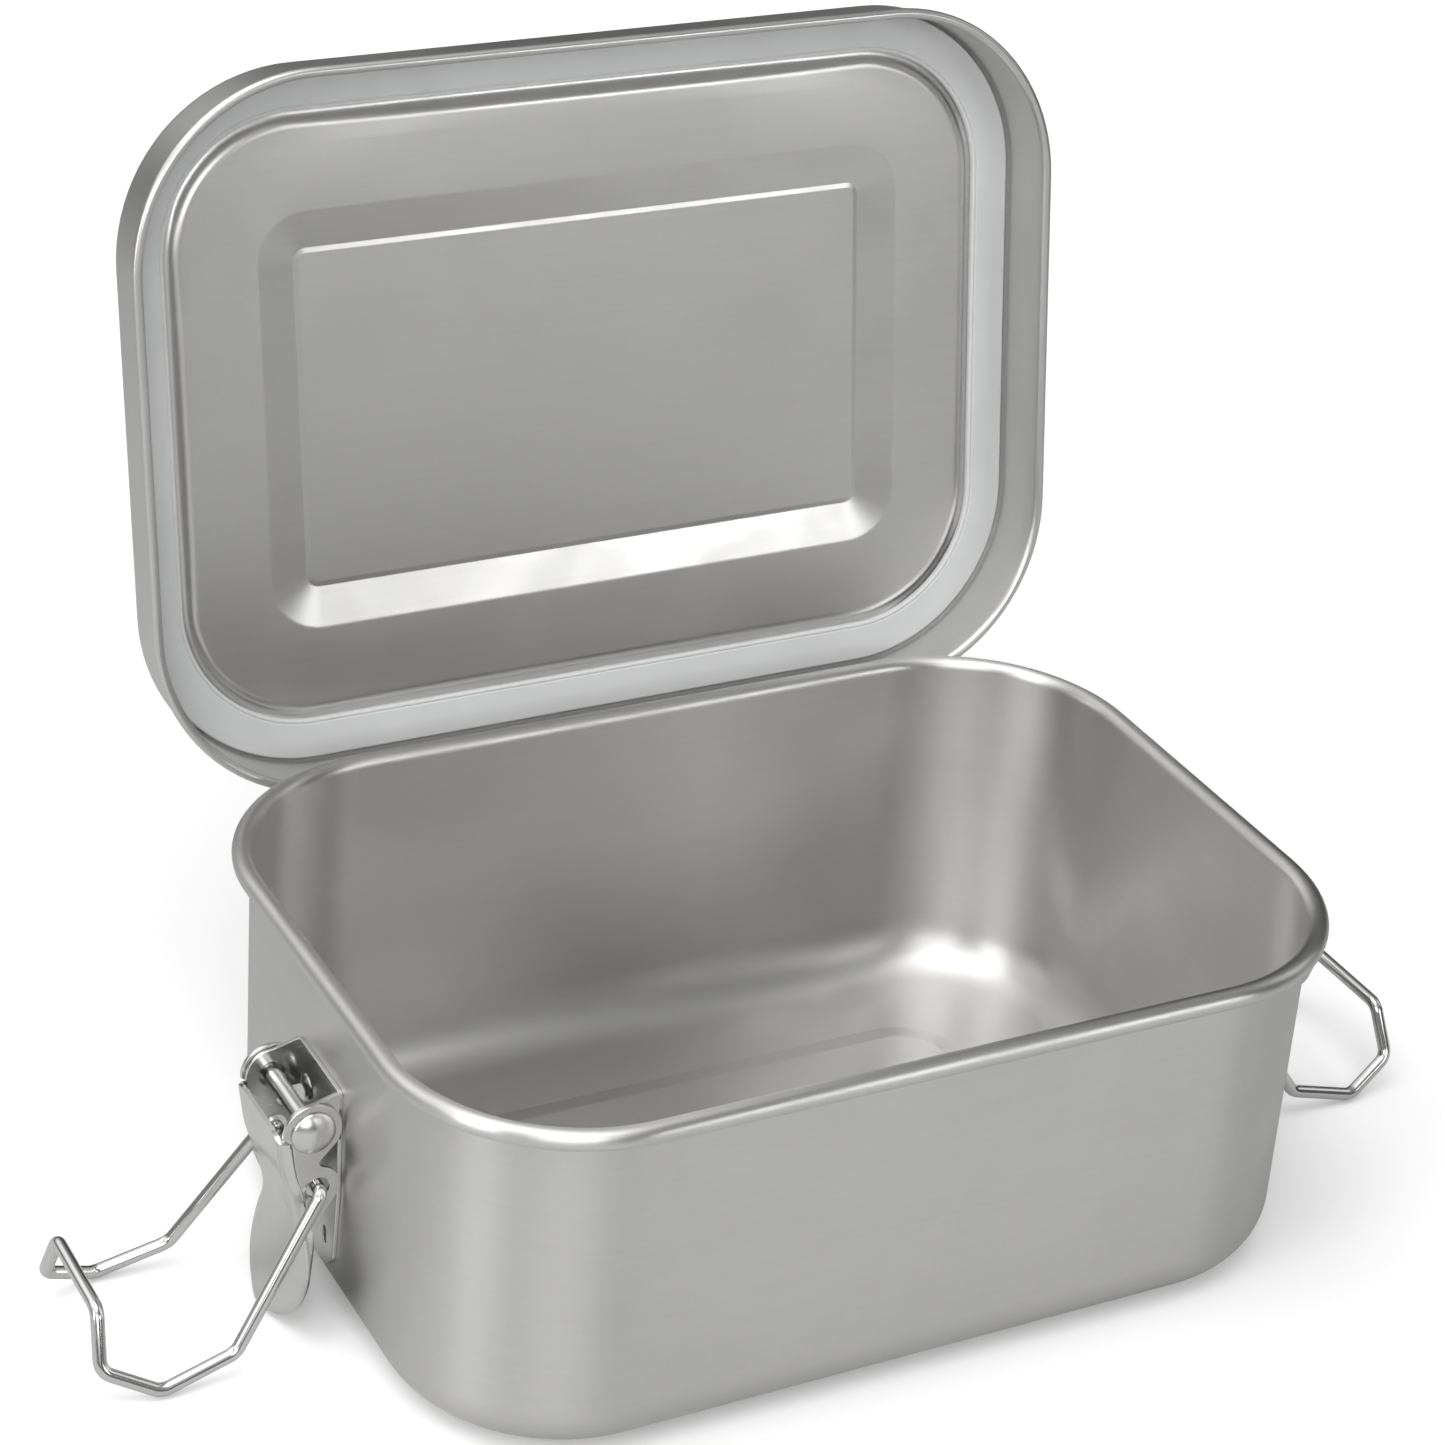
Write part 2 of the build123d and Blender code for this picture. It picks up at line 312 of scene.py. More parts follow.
@dataclass(frozen=True)
class FormedSheet:
    """Sheet metal pressed into a shape of rounded rectangles, from its middle out to its edge."""

    name: str
    thickness: float

    def along(self, stations: Sequence[Station], index: int) -> Vector:
        """The direction in which the sheet's section runs at a station."""
        low = stations[max(index - 1, 0)]
        high = stations[min(index + 1, len(stations) - 1)]
        if low.outline is not high.outline:
            return Vector((1.0, 0.0))
        run = Vector((high.out - low.out, high.up - low.up))
        return run.normalized() if run.length > 0 else Vector((1.0, 0.0))

    def build(self, stations: Sequence[Station]) -> Builder:
        """Make both faces of the sheet and close them at its edge.

        Args:
            stations: Loops along the section, from the middle of the panel to the cut edge.

        Returns:
            The builder with the mesh in it.
        """
        builder = Builder(self.name)
        half = self.thickness / 2
        rows = {}
        for part, offset in ((Part.INSIDE, half), (Part.OUTSIDE, -half)):
            rows[part] = []
            for index, station in enumerate(stations):
                outline = station.side(self.along(stations, index), offset)
                rows[part].append(builder.row(outline.loop()))
            for index in range(len(stations) - 1):
                is_edge = stations[index].edge
                finish = Part.EDGE.value if is_edge else part.value
                builder.skin(rows[part][index], rows[part][index + 1], part=finish)
            builder.cap(rows[part][0], part.value)
        builder.skin(rows[Part.INSIDE][-1], rows[Part.OUTSIDE][-1], part=Part.EDGE.value)
        return builder


def stations(outline: Outline, points: Sequence[Vector], edge_from: int | None = None) -> list[Station]:
    """Turn a section line into stations about one outline.

    Args:
        outline: The rounded rectangle that the section is measured from.
        points: Section points, outwards and upwards.
        edge_from: Index of the first point that belongs to the rolled edge.

    Returns:
        One station for each point.
    """
    made = []
    for index, point in enumerate(points):
        is_edge = edge_from is not None and index >= edge_from
        made.append(Station(outline, point.x, point.y, is_edge))
    return made


def divided(start: Vector, end: Vector, pieces: int, hold: float = 0.25 * MM) -> Line:
    """Points on a straight run, with one close to each end so that its faces stay flat there.

    Args:
        start: First point, which isn't repeated.
        end: Last point, which isn't repeated.
        pieces: Number of equal parts between the close points.
        hold: Distance from each end to the close point.

    Returns:
        The points between the ends.
    """
    run = end - start
    share = min(hold / run.length, 0.2)
    spots = [share + (1 - 2 * share) * piece / pieces for piece in range(pieces + 1)]
    return [start.lerp(end, spot) for spot in spots]


def plate(name: str, outlines: Sequence[Line], thickness: float, edge: float = 0.12 * MM) -> bpy.types.Mesh:
    """A flat plate with softened edges, cut from outlines in its own plane.

    Args:
        name: Name of the mesh.
        outlines: The outer outline and then any holes.
        thickness: Thickness of the plate.
        edge: Radius of the softened edge.

    Returns:
        The mesh, level and centred on its own plane.
    """
    curve = bpy.data.curves.new(name, "CURVE")
    curve.dimensions = "2D"
    curve.fill_mode = "BOTH"
    curve.extrude = thickness / 2 - edge
    curve.bevel_depth = edge
    curve.bevel_resolution = 2
    curve.offset = -edge
    for outline in outlines:
        spline = curve.splines.new("POLY")
        spline.points.add(len(outline) - 1)
        for spot, point in zip(spline.points, outline):
            spot.co = (point.x, point.y, 0, 1)
        spline.use_cyclic_u = True
    holder = bpy.data.objects.new(name, curve)
    data = bpy.data.meshes.new_from_object(holder)
    bpy.data.objects.remove(holder)
    return data


def tube(name: str, path: Sequence[Vector], radius: float, sides: int = 20) -> Builder:
    """A round wire along a path, with rounded ends.

    Args:
        name: Name of the wire.
        path: Points along its middle.
        radius: Radius of the wire.
        sides: Number of sides of its section.

    Returns:
        The builder with the mesh in it.
    """
    end_reach, end_shrink = 0.35, 0.72
    builder = Builder(name)
    line = [point.copy() for point in path]
    line.insert(0, line[0] + (line[0] - line[1]).normalized() * radius * end_reach)
    line.append(line[-1] + (line[-1] - line[-2]).normalized() * radius * end_reach)
    side = (line[1] - line[0]).orthogonal().normalized()
    rows = []
    for index, point in enumerate(line):
        low = line[max(index - 1, 0)]
        high = line[min(index + 1, len(line) - 1)]
        along = (high - low).normalized()
        side = (side - along * side.dot(along)).normalized()
        across = along.cross(side)
        reach = radius * (end_shrink if index in (0, len(line) - 1) else 1.0)
        circle = ring((0, 0), reach, sides)
        rows.append(builder.row([point + side * spot.x + across * spot.y for spot in circle]))
    builder.skins(rows)
    builder.cap(rows[0])
    builder.cap(rows[-1])
    return builder


def lathe(name: str, profile: Sequence[Vector], sides: int = 48) -> Builder:
    """A turned piece about its own Z axis.

    Args:
        name: Name of the piece.
        profile: Radius and height of each ring, from one end to the other.
        sides: Steps round the axis.

    Returns:
        The builder with the mesh in it.
    """
    builder = Builder(name)
    rows = []
    for point in profile:
        circle = ring((0, 0), point.x, sides)
        rows.append(builder.row([Vector((spot.x, spot.y, point.y)) for spot in circle]))
    builder.skins(rows)
    builder.cap(rows[0])
    builder.cap(rows[-1])
    return builder


# ---------------------------------------------------------------- effects shared by the finishes


class Nodes:
    """A short way to write a node tree."""

    def __init__(self, tree: bpy.types.NodeTree) -> None:
        """Remember the tree that nodes are added to."""
        self.tree = tree

    def add(self, kind: str, inputs: dict | None = None, **settings: object) -> bpy.types.Node:
        """Add a node.

        Args:
            kind: Type of the node, without its prefix when that is ShaderNode.
            inputs: Values or sockets for its inputs, by name or number.
            settings: Other properties of the node.

        Returns:
            The node.
        """
        node = self.tree.nodes.new(kind if kind.startswith("Node") else "ShaderNode" + kind)
        for name, value in settings.items():
            setattr(node, name, value)
        self.fill(node, inputs or {})
        return node

    def fill(self, node: bpy.types.Node, inputs: dict) -> None:
        """Give several inputs of a node their values or sockets."""
        for key, value in inputs.items():
            self.set(node.inputs[key], value)

    def set(self, socket: bpy.types.NodeSocket, value: object) -> None:
        """Link a socket to another one, or give it a plain value."""
        if isinstance(value, bpy.types.NodeSocket):
            self.tree.links.new(value, socket)
        else:
            socket.default_value = value

    def math(
        self, operation: str, first: Number, second: Number = 0.0, third: Number = 0.0
    ) -> bpy.types.NodeSocket:
        """One step of arithmetic."""
        node = self.add("Math", {0: first, 1: second, 2: third}, operation=operation)
        return node.outputs[0]

    def ramp(
        self, value: Number, low: float, high: float, start: float = 0.0, end: float = 1.0
    ) -> bpy.types.NodeSocket:
        """Spread a value between two limits, smoothly and without overshoot."""
        limits = {"Value": value, "From Min": low, "From Max": high, "To Min": start, "To Max": end}
        return self.add("MapRange", limits, interpolation_type="SMOOTHSTEP").outputs[0]

    def noise(
        self, place: object, scale: float, detail: float = 2.0, rough: float = 0.5
    ) -> bpy.types.NodeSocket:
        """Cloudy noise from 0 to 1."""
        inputs = {"Vector": place, "Scale": scale, "Detail": detail, "Roughness": rough}
        return self.add("TexNoise", inputs).outputs["Fac"]

    def stretched(self, place: object, scale: tuple[float, float, float]) -> bpy.types.NodeSocket:
        """Object coordinates squeezed or drawn out along each axis."""
        node = self.add("VectorMath", {0: place, 1: scale}, operation="MULTIPLY")
        return node.outputs[0]


def group(name: str, inputs: dict[str, float], outputs: Sequence[str]) -> tuple[Nodes, dict, dict]:
    """Start a shader node group whose sockets are all plain numbers, apart from Place, a vector.

    Args:
        name: Name of the group.
        inputs: Default value of each numeric input.
        outputs: Names of its numeric outputs.

    Returns:
        The nodes of the group, its input sockets by name and its output sockets by name.
    """
    tree = bpy.data.node_groups.new(name, "ShaderNodeTree")
    tree.interface.new_socket("Place", in_out="INPUT", socket_type="NodeSocketVector")
    for key, value in inputs.items():
        socket = tree.interface.new_socket(key, in_out="INPUT", socket_type="NodeSocketFloat")
        socket.default_value = value
    for key in outputs:
        tree.interface.new_socket(key, in_out="OUTPUT", socket_type="NodeSocketFloat")
    nodes = Nodes(tree)
    entry = nodes.add("NodeGroupInput")
    exit_ = nodes.add("NodeGroupOutput")
    return nodes, {s.name: s for s in entry.outputs}, {s.name: s for s in exit_.inputs}


class Effects:
    """The surface effects that several finishes use, each one a node group."""

    def __init__(self) -> None:
        """Build every group once."""
        self.grain = self.make_grain()
        self.draw_lines = self.make_draw_lines()
        self.handling = self.make_handling()

    def make_grain(self) -> bpy.types.NodeTree:
        """The sandy texture that pressing leaves on thin sheet, with its own tone."""
        nodes, given, wanted = group("Pressed grain", {"Size": 0.0006, "Depth": 1.0}, ("Height", "Tone"))
        per_metre = nodes.math("DIVIDE", 1.0, given["Size"])
        texture = {"Vector": given["Place"], "Scale": per_metre, "Detail": 3.0, "Roughness": 0.6}
        fine = nodes.add("TexNoise", texture)
        coarse_scale = nodes.math("MULTIPLY", per_metre, 0.31)
        coarse = nodes.add("TexNoise", {"Vector": given["Place"], "Scale": coarse_scale, "Detail": 1.0})
        mixed = nodes.math("MULTIPLY_ADD", coarse.outputs["Fac"], 0.6, fine.outputs["Fac"])
        nodes.set(wanted["Height"], nodes.math("MULTIPLY", mixed, given["Depth"]))
        nodes.set(wanted["Tone"], nodes.ramp(fine.outputs["Fac"], 0.32, 0.68))
        return nodes.tree

    def make_draw_lines(self) -> bpy.types.NodeTree:
        """Long fine streaks along the box, left by drawing and polishing the sheet."""
        nodes, given, wanted = group("Draw lines", {"Pitch": 0.0009, "Length": 0.05}, ("Height", "Tone"))
        across = nodes.math("DIVIDE", 1.0, given["Pitch"])
        along = nodes.math("DIVIDE", 1.0, given["Length"])
        scale = nodes.add("CombineXYZ", {0: along, 1: along, 2: across})
        place = nodes.add("VectorMath", {0: given["Place"], 1: scale.outputs[0]}, operation="MULTIPLY")
        streak = nodes.noise(place.outputs[0], 1.0, 4.0, 0.62)
        nodes.set(wanted["Height"], streak)
        nodes.set(wanted["Tone"], nodes.ramp(streak, 0.3, 0.7))
        return nodes.tree

    def make_handling(self) -> bpy.types.NodeTree:
        """Wide soft smudges and a few hairline scratches from use."""
        nodes, given, wanted = group("Handling", {"Smudge": 0.02, "Scratch": 0.006}, ("Smudges", "Scratches"))
        per_smudge = nodes.math("DIVIDE", 1.0, given["Smudge"])
        texture = {"Vector": given["Place"], "Scale": per_smudge, "Detail": 4.0, "Distortion": 0.4}
        cloud = nodes.add("TexNoise", texture)
        nodes.set(wanted["Smudges"], nodes.ramp(cloud.outputs["Fac"], 0.35, 0.7))
        per_scratch = nodes.math("DIVIDE", 1.0, given["Scratch"])
        warp = nodes.add("TexNoise", {"Vector": given["Place"], "Scale": per_scratch, "Detail": 2.0})
        bent = nodes.add("MixRGB", {0: 0.35, 1: given["Place"], 2: warp.outputs["Color"]}, blend_type="ADD")
        turned = nodes.add("Mapping", {"Vector": bent.outputs[0], "Rotation": (0.4, 0.9, 1.3)})
        thin = nodes.stretched(turned.outputs[0], (900.0, 14.0, 60.0))
        lines = nodes.noise(thin, 1.0, 1.0)
        nodes.set(wanted["Scratches"], nodes.ramp(lines, 0.71, 0.78))
        return nodes.tree


@dataclass(frozen=True)
class Steel:
    """A stainless finish: its colour, how soft its reflections are and what marks it carries."""

    name: str
    color: tuple[float, float, float]
    roughness: float
    grain_size: float = 0.6 * MM
    grain_depth: float = 0.0
    line_depth: float = 0.0
    line_pitch: float = 0.9 * MM
    smudge: float = 0.05
    tone: float = 0.04
    scratch: float = 0.04
    drawn: float = 0.0

    def make(self, effects: Effects) -> bpy.types.Material:
        """Build the material.

        Args:
            effects: The shared node groups.

        Returns:
            The material.
        """
        material, nodes, shader = blank(self.name)
        place = nodes.add("TexCoord").outputs["Object"]
        grain = nodes.add("Group", node_tree=effects.grain)
        lines = nodes.add("Group", node_tree=effects.draw_lines)
        marks = nodes.add("Group", node_tree=effects.handling)
        for node in (grain, lines, marks):
            nodes.set(node.inputs["Place"], place)
        grain.inputs["Size"].default_value = self.grain_size
        lines.inputs["Pitch"].default_value = self.line_pitch
        height = nodes.math("MULTIPLY", grain.outputs["Height"], self.grain_depth)
        height = nodes.math("MULTIPLY_ADD", lines.outputs["Height"], self.line_depth, height)
        height = nodes.math("MULTIPLY_ADD", marks.outputs["Scratches"], -self.scratch * 0.02 * MM, height)
        bump = nodes.add("Bump", {"Height": height, "Strength": 1.0, "Distance": 1.0})
        tone = nodes.math("ADD", grain.outputs["Tone"], lines.outputs["Tone"])
        tone = nodes.math("MULTIPLY_ADD", tone, self.tone / 2, 1 - self.tone / 2)
        tone = nodes.math("MULTIPLY_ADD", marks.outputs["Smudges"], -self.tone * 0.6, tone)
        tinted = nodes.add("VectorMath", {0: self.color, "Scale": tone}, operation="SCALE")
        rough = nodes.math("MULTIPLY_ADD", marks.outputs["Smudges"], self.smudge, self.roughness)
        rough = nodes.math("MULTIPLY_ADD", marks.outputs["Scratches"], self.scratch, rough)
        looks = {"Base Color": tinted.outputs[0], "Normal": bump.outputs[0], "Roughness": rough}
        nodes.fill(shader, looks)
        shader.inputs["Metallic"].default_value = 1.0
        if self.drawn:
            level = nodes.add("Tangent", direction_type="RADIAL", axis="Z").outputs[0]
            nodes.fill(shader, {"Anisotropic": self.drawn, "Anisotropic Rotation": 0.25, "Tangent": level})
        return material


@dataclass(frozen=True)
class Silicone:
    """The soft seal: milky and slightly see-through."""

    name: str = "seal_silicone"
    color: tuple[float, float, float] = (0.69, 0.695, 0.70)

    def make(self, effects: Effects) -> bpy.types.Material:
        """Build the material.

        Args:
            effects: The shared node groups.

        Returns:
            The material.
        """
        material, nodes, shader = blank(self.name)
        place = nodes.add("TexCoord").outputs["Object"]
        marks = nodes.add("Group", {"Place": place}, node_tree=effects.handling)
        grain = nodes.add("Group", {"Place": place}, node_tree=effects.grain)
        grain.inputs["Size"].default_value = 0.35 * MM
        height = nodes.math("MULTIPLY", grain.outputs["Height"], 0.004 * MM)
        bump = nodes.add("Bump", {"Height": height, "Distance": 1.0})
        tone = nodes.math("MULTIPLY_ADD", marks.outputs["Smudges"], -0.07, 1.02)
        tinted = nodes.add("VectorMath", {0: self.color, "Scale": tone}, operation="SCALE")
        rough = nodes.math("MULTIPLY_ADD", marks.outputs["Smudges"], 0.15, 0.42)
        looks = {"Base Color": tinted.outputs[0], "Normal": bump.outputs[0], "Roughness": rough}
        nodes.fill(shader, looks)
        nodes.fill(shader, {
            "IOR": 1.41,
            "Subsurface Weight": 0.35,
            "Subsurface Radius": (1.0, 1.0, 1.0),
            "Subsurface Scale": 1.2 * MM,
        })
        return material


def blank(name: str) -> tuple[bpy.types.Material, Nodes, bpy.types.Node]:
    """Start a material.

    Args:
        name: Name of the material.

    Returns:
        The material, its nodes and its main shader.
    """
    material = bpy.data.materials.new(name)
    material.use_nodes = True
    nodes = Nodes(material.node_tree)
    shader = next(node for node in material.node_tree.nodes if node.type == "BSDF_PRINCIPLED")
    return material, nodes, shader


class Finishes:
    """Every finish on the box, made once."""

    def __init__(self) -> None:
        """Make the shared effects and then the materials."""
        effects = Effects()
        satin = (0.65, 0.646, 0.636)
        bright = (0.70, 0.697, 0.69)
        # Darker copy of the satin steel for the tub's inside walls and floor: painted shade of the interior,
        # not a different metal.
        painted_shade_steel = (0.53, 0.526, 0.519)
        self.tub_outside = Steel(
            "tub_satin", satin, 0.36, grain_size=0.45 * MM, grain_depth=0.003 * MM, line_depth=0.0015 * MM,
            drawn=0.8,
        ).make(effects)
        # The inside and floor finishes below take the painted shade colour.
        self.tub_inside = Steel(
            "tub_inside_satin_painted_shade", painted_shade_steel, 0.22, grain_size=0.7 * MM, grain_depth=0.028 * MM,
            line_depth=0.002 * MM, tone=0.09, drawn=0.35,
        ).make(effects)
        self.tub_floor = Steel(
            "tub_floor_satin_painted_shade", painted_shade_steel, 0.1, grain_size=0.7 * MM, grain_depth=0.028 * MM, tone=0.08
        ).make(effects)
        self.rim = Steel("rim_polished", bright, 0.05, grain_depth=0.001 * MM, tone=0.03).make(effects)
        self.lid_inside = Steel(
            "lid_inside_pressed", satin, 0.15, grain_size=0.8 * MM, grain_depth=0.07 * MM, tone=0.2
        ).make(effects)
        self.lid_outside = Steel(
            "lid_satin", satin, 0.33, grain_size=0.5 * MM, grain_depth=0.004 * MM, line_depth=0.0015 * MM
        ).make(effects)
        self.seal = Silicone().make(effects)
        self.latch = Steel(
            "latch_polished", bright, 0.19, grain_size=1.1 * MM, grain_depth=0.004 * MM, tone=0.05,
            scratch=0.1,
        ).make(effects)
        self.rivet = Steel(
            "rivet_tumbled", bright, 0.24, grain_size=0.9 * MM, grain_depth=0.003 * MM
        ).make(effects)
        self.wire = Steel(
            "wire_polished", bright, 0.13, grain_size=1.6 * MM, grain_depth=0.002 * MM
        ).make(effects)
        self.hinge = Steel(
            "hinge_satin", satin, 0.27, grain_size=0.8 * MM, grain_depth=0.004 * MM, scratch=0.08
        ).make(effects)


def dress(piece: bpy.types.Object, finishes: Sequence[bpy.types.Material]) -> None:
    """Give a piece its materials, in the order of its faces' material numbers."""
    piece.data.materials.clear()
    for finish in finishes:
        piece.data.materials.append(finish)


def stand_in(
    piece: bpy.types.Object, finishes: Sequence[bpy.types.Material], body: str, node: str
) -> None:
    """Dress a piece and let it stand for a CAD node on a body."""
    dress(piece, finishes)
    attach(piece, body)
    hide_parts(node)
    log.info("%s stands for %s on %s", piece.name, node, body)


# ---------------------------------------------------------------- tub


@dataclass
class Tub:
    """The drawn tub with its rolled rim and its raised floor panel."""

    finishes: Finishes
    sheet: float = 0.6 * MM
    rim_radius: float = 1.9 * MM
    corner: float = 32.1 * MM
    floor_fillet: float = 10.3 * MM
    panel_half_length: float = 58.5 * MM
    panel_half_width: float = 37.0 * MM
    panel_corner: float = 13.0 * MM
    panel_slope: float = 5.0 * MM
    panel_rise: float = 1.5 * MM
    soft_bend: float = 3.0 * MM

    def wall(self) -> Outline:
        """The outside of the wall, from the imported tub's own box."""
        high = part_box("box_body")[1]
        proud = 2 * self.rim_radius - self.sheet
        return Outline(high.x - proud, high.y - proud, self.corner)

    def floor_stations(self) -> list[Station]:
        """From the middle of the raised panel out to its foot."""
        middle = self.sheet / 2
        slope = self.panel_slope
        foot = Outline(self.panel_half_length, self.panel_half_width, self.panel_corner)
        line = [
            Vector((4.0 * MM - foot.half_width, middle + self.panel_rise)),
            Vector((-slope, middle + self.panel_rise)),
            Vector((0.0, middle)),
            Vector((6.0 * MM, middle)),
        ]
        soft = rounded(line, (0, self.soft_bend, self.soft_bend, 0), steps=6)
        return stations(foot, [soft[0], *divided(soft[0], soft[1], 4), *soft[1:]])

    def wall_stations(self) -> list[Station]:
        """From the flat floor up the wall and round the rim."""
        wall = self.wall()
        middle = self.sheet / 2
        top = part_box("box_body")[1].z - self.rim_radius
        fillet = arc((-self.floor_fillet, self.floor_fillet), self.floor_fillet - middle, -90, 90, 16)
        curl = arc((self.rim_radius - self.sheet, top), self.rim_radius - middle, 180, -295, 30)
        start = Vector((-self.floor_fillet - 3.7 * MM, middle))
        points = [start, *divided(start, fillet[0], 1), *fillet]
        points += divided(fillet[-1], curl[0], 20)
        edge_from = len(points)
        return stations(wall, points + curl, edge_from)

    def weld_dents(self, builder: Builder) -> None:
        """Press the shallow marks of the spot welds into the end walls, beside the latch brackets."""
        depth, spread, across, reach = 0.16 * MM, 3.2 * MM, 14.2 * MM, 24 * MM
        wall = self.wall()
        for vert in builder.mesh.verts:
            on_end_wall = abs(vert.co.x) >= wall.half_length - 2 * self.sheet
            if not on_end_wall or abs(vert.co.y) > reach:
                continue
            outward = 1 if vert.co.x > 0 else -1
            for height in (27.5 * MM, 34.0 * MM):
                away = hypot(abs(vert.co.y) - across, vert.co.z - height)
                vert.co.x -= outward * depth * exp(-((away / spread) ** 2))

    def build(self) -> None:
        """Make the tub and dress it."""
        loops = self.floor_stations() + self.wall_stations()
        builder = FormedSheet("tub", self.sheet).build(loops)
        self.weld_dents(builder)
        for face in builder.mesh.faces:
            if face.calc_center_median().z < self.floor_fillet:
                face.material_index = Part.LEVEL.value
        tub = builder.finish()
        finishes = self.finishes
        worn = (finishes.tub_outside, finishes.tub_inside, finishes.rim, finishes.tub_floor)
        stand_in(tub, worn, "box", "box_body")


# ---------------------------------------------------------------- lid


@dataclass
class Lid:
    """The pressed lid and its seal, drawn as they lie when shut and then swung open."""

    finishes: Finishes
    sheet: float = 0.6 * MM
    half_length: float = 90.95 * MM
    half_width: float = 65.7 * MM
    corner: float = 33.6 * MM
    top: float = 70.6 * MM
    edge: float = 55.7 * MM
    shoulder: float = 2.0 * MM
    bead_radius: float = 0.95 * MM
    plug_depth: float = 1.4 * MM
    plug_inset: float = 12.0 * MM
    plug_run: float = 3.1 * MM
    crown: float = 0.4 * MM
    recess_half_length: float = 65.0 * MM
    recess_half_width: float = 39.3 * MM
    recess_corner: float = 10.0 * MM
    recess_slope: float = 7.4 * MM
    recess_depth: float = 1.7 * MM
    recess_bend: float = 3.0 * MM
    crease: float = 0.16 * MM
    crease_width: float = 1.0 * MM
    seal_inset: float = 1.15 * MM
    seal_width: float = 7.6 * MM
    seal_thick: float = 1.2 * MM

    def opened(self) -> Matrix:
        """The move from shut to the open rest pose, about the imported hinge."""
        hinge = next(joint for joint in frame["joints"] if joint["name"] == "lid_hinge")
        place = Vector(hinge["pos_m"])
        swing = radians(hinge["range_deg"][1])
        return Matrix.Translation(place) @ Matrix.Rotation(-swing, 4, "X") @ Matrix.Translation(-place)

    def skirt(self) -> Outline:
        """The outside of the skirt."""
        return Outline(self.half_length, self.half_width, self.corner)

    def recess_stations(self) -> list[Station]:
        """From the middle of the pressed rectangle out to the panel round it."""
        panel = self.top - self.sheet / 2 - self.plug_depth
        foot = Outline(self.recess_half_length, self.recess_half_width, self.recess_corner)
        floor = panel + self.recess_depth
        line = [
            Vector((3.0 * MM - foot.half_width, floor)),
            Vector((-self.recess_slope - self.crease_width, floor)),
            Vector((-self.recess_slope, floor + self.crease)),
            Vector((0.0, panel)),
            Vector((5.0 * MM, panel)),
        ]
        soft = rounded(line, (0, 1.2 * MM, 0.8 * MM, self.recess_bend, 0), steps=6)
        return stations(foot, [soft[0], *divided(soft[0], soft[1], 6), *soft[1:]])

    def shell_stations(self) -> list[Station]:
        """From the panel over the seat of the seal, down the skirt and round its bead."""
        middle = self.sheet / 2
        seat_height = self.top - middle
        panel = seat_height - self.plug_depth
        lean = degrees(2 * atan2(self.plug_depth, self.plug_run))
        bend = self.plug_run / (2 * sin(radians(lean)))
        foot = -self.plug_inset
        seat = foot + self.plug_run
        rise = arc((foot, panel + bend), bend, -90, lean, 8)
        rise += arc((seat, seat_height - bend), bend, 90 + lean, -lean, 8)[1:]
        turn = arc((-middle - self.shoulder, seat_height - self.shoulder), self.shoulder, 90, -90, 8)
        curl = self.bead_radius - middle
        bead = arc((curl - middle, self.edge + self.bead_radius), curl, 180, 275, 22)
        start = Vector((foot - 2.8 * MM, panel))
        points = [start, *divided(start, rise[0], 1), *rise, *divided(rise[-1], turn[0], 3)]
        points += turn + divided(turn[-1], bead[0], 6)
        edge_from = len(points)
        return stations(self.skirt(), points + bead, edge_from)

    def ease_corners(self, builder: Builder) -> None:
        """Let the panel fall away gently towards its four corners, as pressed sheet does."""
        long = self.half_length - self.plug_inset
        wide = self.half_width - self.plug_inset
        power = 2.6
        for vert in builder.mesh.verts:
            reach = ((abs(vert.co.x) / long) ** power + (abs(vert.co.y) / wide) ** power) ** (1 / power)
            inside = 1 - ease(long, long + self.plug_run, abs(vert.co.x))
            inside *= 1 - ease(wide, wide + self.plug_run, abs(vert.co.y))
            vert.co.z += self.crown * ease(0.97, 1.17, reach) * inside

    def build_shell(self) -> None:
        """Make the lid's sheet."""
        builder = FormedSheet("lid", self.sheet).build(self.recess_stations() + self.shell_stations())
        for face in builder.mesh.faces:
            if face.material_index != Part.EDGE.value:
                is_inside = face.material_index == Part.OUTSIDE.value
                face.material_index = Part.INSIDE.value if is_inside else Part.OUTSIDE.value
        self.ease_corners(builder)
        builder.turned(self.opened())
        lid = builder.finish()
        worn = (self.finishes.lid_outside, self.finishes.lid_inside, self.finishes.rim)
        stand_in(lid, worn, "lid", "lid_shell")

    def build_seal(self) -> None:
        """Make the seal, with the fine groove that sets off its inner lip."""
        upper = self.top - self.sheet
        lower = upper - self.seal_thick
        outer = -self.seal_inset
        inner = outer - self.seal_width
        lip, groove = 0.8 * MM, 0.24 * MM
        corners = [
            Vector((inner, upper)), Vector((outer, upper)), Vector((outer, lower)),
            Vector((inner + lip + groove, lower)), Vector((inner + lip, lower + groove)),
            Vector((inner + lip - groove, lower)), Vector((inner, lower)),
        ]
        radii = [0.1 * MM, self.seal_thick - 0.5 * MM, 0.45 * MM, 0.12 * MM, 0.1 * MM, 0.12 * MM, 0.4 * MM]
        section = rounded(corners, radii, steps=4, closed=True)
        builder = Builder("seal")
        rows = [builder.row(self.skirt().grown(point.x, point.y).loop()) for point in section]
        for index, row in enumerate(rows):
            builder.skin(row, rows[(index + 1) % len(rows)])
        builder.turned(self.opened())
        seal = builder.finish(30.0)
        stand_in(seal, (self.finishes.seal,), "lid", "lid_seal")

    def build(self) -> None:
        """Make the lid and its seal."""
        self.build_shell()
        self.build_seal()


# ---------------------------------------------------------------- hinge


@dataclass
class Hinge:
    """The rear hinge. Its packed leaves and pin have the right shape and only take a finish."""

    finishes: Finishes

    def build(self) -> None:
        """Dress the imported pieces."""
        for name in ("hinge_leaf_box", "hinge_leaf_lid", "hinge_pin"):
            dress(frame["nodes"][name], (self.finishes.hinge,))
            log.info("%s keeps its packed shape", name)


# ---------------------------------------------------------------- latches


